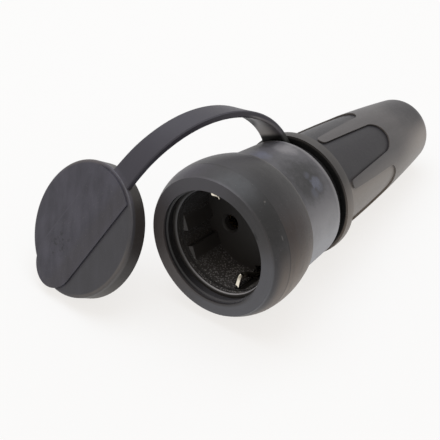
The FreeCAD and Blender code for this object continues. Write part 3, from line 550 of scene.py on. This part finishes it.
class RubberLook(bpy.types.PropertyGroup):
    """Colours of the rubber mouldings, among them painted light and shade."""

    rubber: tint("Rim rubber", "Dark rubber of the lip and rim", (0.033, 0.031, 0.034))
    rubber_light: tint("Rim rubber, rubbed", "The same rubber where it is rubbed pale", (0.05, 0.048, 0.054))
    # Painted shade: darkens the sides of the shoulder, lip and band and the crease behind the shoulder
    rubber_painted_shade: tint("Rim rubber, painted shade", "The same rubber, darkened as painted shade", (0.009, 0.0085, 0.009))
    # sheen is a painted highlight on the top of the shoulder and of the lip
    sheen: tint("Rim painted highlight", "Painted bluish highlight on the top of the shoulder and the lip", (0.062, 0.06, 0.074))
    lip: tint("Lip", "Face of the lip", (0.037, 0.033, 0.033))
    # Painted warm light on the left of the lip's face
    lip_painted_light: tint("Lip, painted light", "Painted warm light on the left of the lip's face", (0.08, 0.069, 0.066))
    # Painted highlight low on the lip
    lip_painted_highlight: tint("Lip, low", "Painted bluish highlight low on the lip", (0.1, 0.102, 0.116))
    band: tint("Rim band", "Skin of the rim's outer band", (0.037, 0.0362, 0.041))
    # Painted warm shade on the sides of the rim's band
    band_painted_warm_shade: tint("Rim band, warm shade", "Painted warm shade on the sides of the rim's band", (0.024, 0.0155, 0.0135))
    # Painted warm floor bounce under the rim's band and the collar
    painted_floor_bounce: tint("Rim band, low", "Painted warm floor bounce under the rim's band and the collar", (0.195, 0.154, 0.124))
    bloom: tint("Barrel bloom", "Pale bloom on the barrel", (0.072, 0.071, 0.081))
    # Painted floor reflection low on the barrel, and two paler patches
    bloom_and_painted_reflection: tint("Barrel bloom, low", "Painted floor reflection low on the barrel's side, and two paler patches", (0.31, 0.306, 0.322))
    # Darker patches on the barrel
    barrel_darker: tint("Barrel, darker", "Darker patches on the barrel", (0.0175, 0.0175, 0.019))
    smudge: tint("Barrel smudge", "Pale bluish smudges on the barrel", (0.125, 0.135, 0.185))
    # Painted shade in grooves, gaps and recesses, and the colour of the cap's dark nicks
    painted_shade_and_nicks: tint("Groove", "Painted shade in grooves, gaps and recesses, and dark nicks", (0.005, 0.005, 0.005))
    grip: tint("Grip", "Rubber of the grip", (0.046, 0.043, 0.045))
    grip_rubbed: tint("Grip, rubbed", "Grip where hands have rubbed it pale", (0.085, 0.081, 0.084))
    # Painted warm floor bounce low on the grip and collar, and painted light on the panel walls
    grip_painted_light: tint("Grip, low", "Painted warm floor bounce low on the grip, and painted light on its panel walls", (0.22, 0.196, 0.178))
    # Painted warm floor bounce low on the tail
    grip_tail_painted_light: tint("Grip, tail", "Painted warm floor bounce low on the tail", (0.26, 0.234, 0.217))
    grip_panel: tint("Grip panels", "Darker rubber in the sunk panels", (0.019, 0.018, 0.022))
    collar: tint("Collar", "Dark collar of the grip", (0.036, 0.034, 0.033))
    cap: tint("Cap", "Face of the cap", (0.0265, 0.0255, 0.0355))
    # Rubbed pale at random, and a painted highlight along one edge of the band
    cap_rubbed_and_highlight: tint("Cap, rubbed", "Cap where it is rubbed pale, and a painted highlight along one edge of its band", (0.057, 0.055, 0.074))
    cap_plain: tint("Cap, lower face", "Plain face beside the cap's band", (0.036, 0.036, 0.038))
    # Painted highlight on the cap's rounded edge and painted floor reflection on its lower side
    cap_edge_painted_light: tint("Cap edge", "Painted highlight on the cap's rounded edge and painted floor reflection on its lower side", (0.2, 0.175, 0.15))
    # The cap's side, and painted shade on half of its band
    cap_side_and_band_shade: tint("Cap side", "Side of the cap, also painted shade on the band", (0.03, 0.026, 0.025))
    strap: tint("Strap", "Strap of the cap", (0.03, 0.0282, 0.039))
    # Painted light inside the strap's root
    strap_root_painted_light: tint("Strap root", "Painted light inside the strap's root", (0.52, 0.5, 0.5))
    # dust also draws a painted highlight along the rim's rear step
    dust: tint("Dust", "Dust and small nicks, also a painted highlight along the rim's rear step", (0.17, 0.165, 0.16))
    gloss: share("Gloss", "Strength of the rubber's sheen", 0.4)


class InnerLook(bpy.types.PropertyGroup):
    """Colours of the plastic and metal inside, among them painted light and shade."""

    insert: tint("Insert", "Dark plastic of the plug recess", (0.027, 0.025, 0.024))
    # Worn pale stipple, and painted light low on the wall and on the ledge
    insert_pale_and_painted_light: tint("Insert, worn", "Insert where it is worn pale, and painted light low on its wall and on its ledge", (0.43, 0.43, 0.45))
    # Painted shade at the mouth's step and on the recess floor
    insert_painted_shade: tint("Insert, painted shade", "Painted shade at the mouth's step and on the recess floor", (0.008, 0.0075, 0.007))
    # Painted highlight on the recess's front ring
    insert_ring_painted_highlight: tint("Insert ring", "Painted highlight on the recess's front ring, strongest low down", (0.42, 0.425, 0.46))
    insert_gloss: share("Insert gloss", "Strength of the insert's sheen", 0.35)
    carrier: tint("Carrier", "Plastic of the carrier and clamp bar", (0.02, 0.019, 0.018))
    brass: tint("Brass", "Contacts and terminals", (0.28, 0.2, 0.1))
    brass_dull: tint("Brass, dull", "Tarnish on the brass", (0.12, 0.08, 0.04))
    earth: tint("Earth clip", "Nickelled earth strip", (0.9, 0.84, 0.72))
    # Dull plating, and painted shade on the strip past CLIP_BRIGHT_TO
    earth_dull_and_painted_shade: tint("Earth clip, dull", "Earth strip where its plating is dull, and painted shade on it deep in its slot", (0.16, 0.14, 0.11))
    steel: tint("Steel", "Zinc plated screws and springs", (0.62, 0.62, 0.62))
    steel_dull: tint("Steel, dull", "Dulled plating", (0.38, 0.37, 0.36))


class ClipSize(bpy.types.PropertyGroup):
    """Form of the earth strip's spring arms."""

    width: length("Arm width", "Width of the lower arm", 1.7 * MM)
    tip: length("Tip width", "Width of the upper arm's curled end", 3.2 * MM)
    crown: length("Crown", "How far an arm's edges fall from its middle", 1.1 * MM)
    bow: length("Bow", "How far the lower arm bends into the recess", 3.2 * MM)
    lift: length("Lift", "How far the upper arm stands off the recess wall", 1.5 * MM)
    curl: length("Curl", "Radius of the upper arm's curled end", 1.35 * MM)


class StageLook(bpy.types.PropertyGroup):
    """Floor, light and camera."""

    floor: tint("Floor", "Pale floor", (0.8, 0.9, 1.0))
    backdrop: tint("White", "White of the floor as it is seen", (0.966, 0.942, 0.918))
    floor_glow: share("Floor glow", "Share of plain white in the floor as it is seen", 0.82)
    surround: FloatProperty(name="Surround", description="Light from the white room", default=0.7, min=0.0)
    room: tint("Room", "Tone of the white room beyond the floor", (0.9, 0.885, 0.86))
    surround_tint: tint("Surround tint", "Colour of the room's light", (1.0, 0.89, 0.76))
    lamp: FloatProperty(name="Lamp", description="Power of the soft lamp overhead", default=5.0, min=0.0,
                        unit="POWER")
    lamp_tint: tint("Lamp tint", "Colour of the lamp", (0.88, 0.925, 1.0))
    lamp_size: length("Lamp size", "Side of the soft lamp", 0.7)
    lens: FloatProperty(name="Lens", description="Focal length of the camera", default=98.18, unit="CAMERA")


def dress(node, material):
    """Gives a solid its finish and drops the plain one that it came with."""
    mesh = frame["nodes"][node].data
    mesh.materials.clear()
    mesh.materials.append(material)


class CONNECTOR_OT_front_sleeve(bpy.types.Operator):
    """Finish the front sleeve as worn rubber with a pale bloom on its barrel, and painted light and shade"""

    bl_idname = "connector.front_sleeve"
    bl_label = "Front sleeve"

    def execute(self, context):
        dress("front_sleeve", sleeve_rubber(context.scene.connector_rubber))
        return {"FINISHED"}


class CONNECTOR_OT_rear_grip(bpy.types.Operator):
    """Finish the grip as rubber, rubbed pale between its darker panels"""

    bl_idname = "connector.rear_grip"
    bl_label = "Rear grip"

    def execute(self, context):
        dress("rear_grip", grip_rubber(context.scene.connector_rubber))
        return {"FINISHED"}


class CONNECTOR_OT_strap_cap(bpy.types.Operator):
    """Finish the cap, its strap and its neck ring as charcoal rubber"""

    bl_idname = "connector.strap_cap"
    bl_label = "Cap and strap"

    def execute(self, context):
        dress("strap_cap", cap_rubber(context.scene.connector_rubber))
        return {"FINISHED"}


class CONNECTOR_OT_mouldings(bpy.types.Operator):
    """Finish the insert, the contact carrier and the clamp bar as moulded plastic"""

    bl_idname = "connector.mouldings"
    bl_label = "Plastic mouldings"

    def execute(self, context):
        look = context.scene.connector_inner
        dress("socket_insert", insert_plastic(look))
        plastic = carrier_plastic(look)
        for node in ("contact_carrier", "cord_clamp_bar"):
            dress(node, plastic)
        return {"FINISHED"}


class CONNECTOR_OT_metal(bpy.types.Operator):
    """Finish the contacts, springs and screws as metal"""

    bl_idname = "connector.metal"
    bl_label = "Contacts and screws"

    def execute(self, context):
        look = context.scene.connector_inner
        brass = metal("contact_brass", look.brass, look.brass_dull, 0.3, (1.5, 0.2, 1.5))
        spring = metal("spring_steel", look.steel, look.steel_dull, 0.2, (0.4, 3.0, 0.4))
        screw = metal("screw_steel", look.steel, look.steel_dull, 0.28, (2.0, 2.0, 2.0))
        for node in ("live_contact", "neutral_contact", "earth_terminal"):
            dress(node, brass)
        for node in ("live_contact_spring", "neutral_contact_spring"):
            dress(node, spring)
        for node in ("terminal_screws", "carrier_screws", "cord_clamp_screws"):
            dress(node, screw)
        return {"FINISHED"}


# The solid strip's flat, folded arms, in millimetres
CLIP_TIP = 8.8
CLIP_CREST = 11.4
CLIP_REACH = 18.4
CLIP_HALF_WIDTH = 2.5
CLIP_BEND_HEIGHT = 1.6
CLIP_BEND_FRONT = 2.6
CLIP_BEND_REAR = 2.8

# How the arms are cut and bent: lengths in millimetres, a slope, a turn and two counts
CLIP_STRAIGHT_END = 21.0
CLIP_ROOT_EASE = 3.0
CLIP_INNERMOST = 10.0
CLIP_SLANT = 0.5
CLIP_CURL_START = 10.2
CLIP_CURL_TURN = math.radians(110.0)
CLIP_COLUMNS = 12
CLIP_ROWS = 28
CLIP_ROW_HEIGHT = 0.45
# Station on the earth strip past which it is darkened as painted shade
CLIP_BRIGHT_TO = 12.0
CUT_TOLERANCE = 0.0001
WELD_DISTANCE = 0.001


class CONNECTOR_OT_earth_strip(bpy.types.Operator):
    """Make the earth strip with narrow spring arms, crowned across and bowed into the recess"""

    bl_idname = "connector.earth_strip"
    bl_label = "Earth strip"

    def execute(self, context):
        size = context.scene.connector_clip
        work = bmesh.new()
        work.from_mesh(frame["nodes"]["earth_bracket"].data)
        bmesh.ops.remove_doubles(work, verts=work.verts, dist=WELD_DISTANCE * MM)
        to_body = Matrix.Translation(BODY_SHIFT) @ BODY_TURN.to_4x4() @ Matrix.Scale(PER_METRE, 4)
        bmesh.ops.transform(work, matrix=to_body, verts=work.verts)
        self.slice(work, Vector((1, 0, 0)),
                   [CLIP_HALF_WIDTH * (2 * n / CLIP_COLUMNS - 1) for n in range(1, CLIP_COLUMNS)])
        self.slice(work, Vector((0, 1, 0)), [CLIP_TIP + CLIP_ROW_HEIGHT * n for n in range(1, CLIP_ROWS)])
        for vert in work.verts:
            if vert.co.y < CLIP_STRAIGHT_END and abs(vert.co.z) > CLIP_INNERMOST:
                self.bend(vert, size)
        bmesh.ops.transform(work, matrix=to_body.inverted(), verts=work.verts)
        mesh = bpy.data.meshes.new("earth_strip")
        work.to_mesh(mesh)
        work.free()
        look = context.scene.connector_inner
        # Painted shade: the strip takes its dull colour past CLIP_BRIGHT_TO
        mesh.materials.append(metal("earth_plating", look.earth, look.earth_dull_and_painted_shade, 0.1, (2.0, 0.2, 0.5),
                                    CLIP_BRIGHT_TO))
        mesh.shade_smooth()
        strip = bpy.data.objects.new("earth_strip", mesh)
        context.scene.collection.objects.link(strip)
        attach(strip, "coupler")
        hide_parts("earth_bracket")
        return {"FINISHED"}

    def slice(self, work, normal, levels):
        """Cuts edges across the strip at these levels, so that it can bend there."""
        for level in levels:
            everything = work.verts[:] + work.edges[:] + work.faces[:]
            bmesh.ops.bisect_plane(work, geom=everything, plane_co=normal * level, plane_no=normal,
                                   dist=CUT_TOLERANCE)

    def bend(self, vert, size):
        """Moves one vertex of a flat, folded arm: the lower arm is bowed, the upper one ends in a curl."""
        station, upper = vert.co.y, vert.co.z > 0
        reach = CLIP_BEND_FRONT if station < CLIP_CREST else CLIP_BEND_REAR
        height = abs(vert.co.z) + max(0.0, 1.0 - abs(station - CLIP_CREST) / reach) * CLIP_BEND_HEIGHT
        straight = 1.0 - min(1.0, (CLIP_STRAIGHT_END - station) / CLIP_ROOT_EASE)
        across = vert.co.x / CLIP_HALF_WIDTH
        half = (size.tip if upper else size.width) * PER_METRE / 2
        crown = size.crown * PER_METRE * across * across * (1.0 - straight)
        back = max(0.0, (station - CLIP_CREST) / (CLIP_STRAIGHT_END - CLIP_CREST))
        sway = 0.5 + 0.5 * math.cos(math.pi * back)
        if upper:
            height -= (size.lift * PER_METRE + CLIP_SLANT * across * half) * sway - crown * 0.2
            curl = size.curl * PER_METRE
            turn = max(0.0, CLIP_CURL_START - station) / (CLIP_CURL_START - CLIP_TIP) * CLIP_CURL_TURN
            if turn > 0.0:
                outer = CLIP_REACH - size.lift * PER_METRE - CLIP_SLANT * across * half
                arm = curl - (outer - height)
                station = CLIP_CURL_START - arm * math.sin(turn)
                height = outer - curl + arm * math.cos(turn)
        else:
            rise = min(1.0, (station - CLIP_TIP) / (CLIP_CREST - CLIP_TIP))
            height -= size.bow * PER_METRE * sway * math.sin(math.pi / 2 * rise) - crown
        side = across * (half + (CLIP_HALF_WIDTH - half) * straight)
        if not upper:
            side -= CLIP_SLANT * max(0.0, CLIP_CREST - station)
        vert.co = (side, station, height if upper else -height)


# Camera, floor and lamp, in metres, and the camera's sensor in millimetres
CAMERA_PLACE = Vector((201.675, -260.659, 252.118)) * MM
CAMERA_LOOK = Vector((-0.493296, 0.636448, -0.592953))
CAMERA_NEAR = 0.01
CAMERA_FAR = 20.0
SENSOR_WIDTH = 36.0
FLOOR_HALF_SIDE = 4.0
LAMP_PLACE = Vector((-0.12, 0.14, 0.75))
LAMP_AIM = Vector((0.0, 0.04, 0.0))


def seen_directly(paint):
    """1 for rays that show the floor or the room itself, 0 for the light that they throw."""
    path = paint.add("ShaderNodeLightPath", output="Is Camera Ray")
    outputs = path.socket.node.outputs
    seen = path + Field(paint, outputs["Is Glossy Ray"]) + Field(paint, outputs["Is Transmission Ray"])
    return seen.sum("MINIMUM", seen, 1.0)


class CONNECTOR_OT_stage(bpy.types.Operator):
    """Make the pale floor, the soft light and the camera"""

    bl_idname = "connector.stage"
    bl_label = "Stage"

    def execute(self, context):
        look = context.scene.connector_stage
        self.floor(context.scene, look)
        self.room(context.scene, look)
        self.lamp(context.scene, look)
        self.camera(context.scene, look)
        return {"FINISHED"}

    def floor(self, scene, look):
        work = bmesh.new()
        bmesh.ops.create_grid(work, x_segments=1, y_segments=1, size=FLOOR_HALF_SIDE)
        bmesh.ops.translate(work, verts=work.verts, vec=(0.0, 0.0, CAD_BOX[0].z))
        mesh = bpy.data.meshes.new("floor")
        work.to_mesh(mesh)
        work.free()
        floor = bpy.data.objects.new("floor", mesh)
        scene.collection.objects.link(floor)
        paint = Paint(bpy.data.materials.new("pale_floor"))
        matt = paint.add("ShaderNodeBsdfDiffuse", inputs={"Color": (*look.floor, 1.0)})
        glow = paint.add("ShaderNodeEmission", inputs={"Color": (*look.backdrop, 1.0), "Strength": 1.0})
        seen = seen_directly(paint) * look.floor_glow
        both = paint.add("ShaderNodeMixShader", inputs={0: seen, 1: matt, 2: glow})
        paint.add("ShaderNodeOutputMaterial", inputs={"Surface": both})
        mesh.materials.append(paint.owner)

    def room(self, scene, look):
        scene.world = bpy.data.worlds.new("white_room")
        paint = Paint(scene.world)
        seen = seen_directly(paint)
        tone = paint.mix(look.surround_tint, look.room, seen)
        strength = seen + (1.0 - seen) * look.surround
        shine = paint.add("ShaderNodeBackground", inputs={"Color": tone, "Strength": strength})
        paint.add("ShaderNodeOutputWorld", inputs={"Surface": shine})

    def lamp(self, scene, look):
        light = bpy.data.lights.new("soft_lamp", "AREA")
        light.shape = "SQUARE"
        light.size = look.lamp_size
        light.energy = look.lamp
        light.color = look.lamp_tint
        lamp = bpy.data.objects.new("soft_lamp", light)
        lamp.location = LAMP_PLACE
        lamp.rotation_mode = "QUATERNION"
        lamp.rotation_quaternion = (LAMP_AIM - LAMP_PLACE).to_track_quat("-Z", "Y")
        scene.collection.objects.link(lamp)

    def camera(self, scene, look):
        data = bpy.data.cameras.new("camera")
        data.sensor_width = SENSOR_WIDTH
        data.lens = look.lens
        data.clip_start, data.clip_end = CAMERA_NEAR, CAMERA_FAR
        camera = bpy.data.objects.new("camera", data)
        camera.location = CAMERA_PLACE
        camera.rotation_mode = "QUATERNION"
        camera.rotation_quaternion = CAMERA_LOOK.to_track_quat("-Z", "Y")
        scene.collection.objects.link(camera)
        scene.camera = camera


OPERATORS = (CONNECTOR_OT_front_sleeve, CONNECTOR_OT_rear_grip, CONNECTOR_OT_strap_cap,
             CONNECTOR_OT_mouldings, CONNECTOR_OT_metal, CONNECTOR_OT_earth_strip, CONNECTOR_OT_stage)
LOOKS = {"connector_rubber": RubberLook, "connector_inner": InnerLook, "connector_clip": ClipSize,
         "connector_stage": StageLook}


class CONNECTOR_PT_sidebar(bpy.types.Panel):
    """Lists the steps that dress the connector"""

    bl_idname = "CONNECTOR_PT_sidebar"
    bl_label = "Inline socket connector"
    bl_space_type = "VIEW_3D"
    bl_region_type = "UI"
    bl_category = "Connector"

    def draw(self, context):
        for operator in OPERATORS:
            self.layout.operator(operator.bl_idname)
        for group, look in LOOKS.items():
            box = self.layout.box()
            for name in look.__annotations__:
                box.prop(getattr(context.scene, group), name)


CLASSES = (*LOOKS.values(), *OPERATORS, CONNECTOR_PT_sidebar)


def register():
    for each in CLASSES:
        bpy.utils.register_class(each)
    for name, look in LOOKS.items():
        setattr(bpy.types.Scene, name, PointerProperty(type=look))


def unregister():
    for name in LOOKS:
        delattr(bpy.types.Scene, name)
    for each in reversed(CLASSES):
        bpy.utils.unregister_class(each)


def main():
    register()
    bpy.context.scene.view_settings.view_transform = "Standard"
    bpy.ops.connector.front_sleeve()
    bpy.ops.connector.rear_grip()
    bpy.ops.connector.strap_cap()
    bpy.ops.connector.mouldings()
    bpy.ops.connector.metal()
    bpy.ops.connector.earth_strip()
    bpy.ops.connector.stage()


if __name__ == "__main__":
    main()
